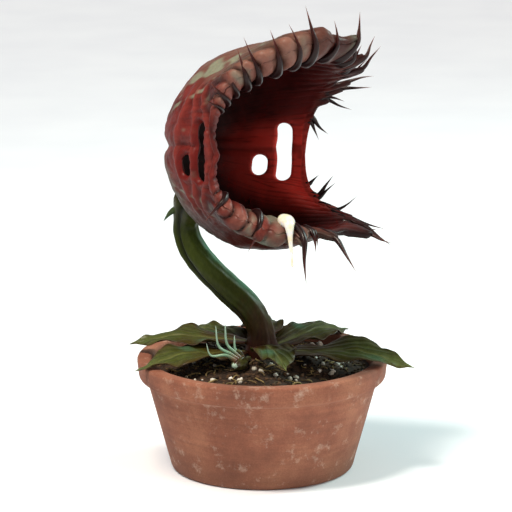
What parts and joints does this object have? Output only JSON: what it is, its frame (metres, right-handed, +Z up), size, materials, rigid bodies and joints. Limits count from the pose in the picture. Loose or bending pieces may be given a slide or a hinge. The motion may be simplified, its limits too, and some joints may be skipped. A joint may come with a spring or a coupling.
{
  "type": "potted venus flytrap",
  "caption": "Potted Venus flytrap: a large gaping spiny trap on a curved stalk above a rosette of pointed leaves, in a plain round clay pot.",
  "frame": {"origin": "centre of the pot's flat underside", "axes": "+Z up, +X to the right of the picture, which looks along +Y"},
  "size_m": [0.0909, 0.0871, 0.1409],
  "materials": {
    "clay": "unglazed fired clay, dry and matte",
    "potting_mix": "damp fibrous peat mix",
    "rhizome_skin": "pale fleshy underground stem",
    "stalk_skin": "waxy green leaf stalk, soft sheen",
    "leaf_skin": "waxy green leaf with brown-red base",
    "trap_flesh": "moist dark red trap lobe, satin",
    "nectar": "clear sticky nectar"
  },
  "bodies": {
    "root": {"pot": "clay", "soil": "potting_mix", "rhizome": "rhizome_skin", "trap_stalk": "stalk_skin", "leaf_right_front": "leaf_skin", "leaf_right_back": "leaf_skin", "leaf_back": "leaf_skin", "leaf_left_back": "leaf_skin", "leaf_left": "leaf_skin", "leaf_left_front": "leaf_skin", "leaf_front": "leaf_skin", "young_trap": "leaf_skin", "neck_bract": "stalk_skin", "nectar_drip": "nectar", "trap": "trap_flesh"}
  },
  "joints": []
}
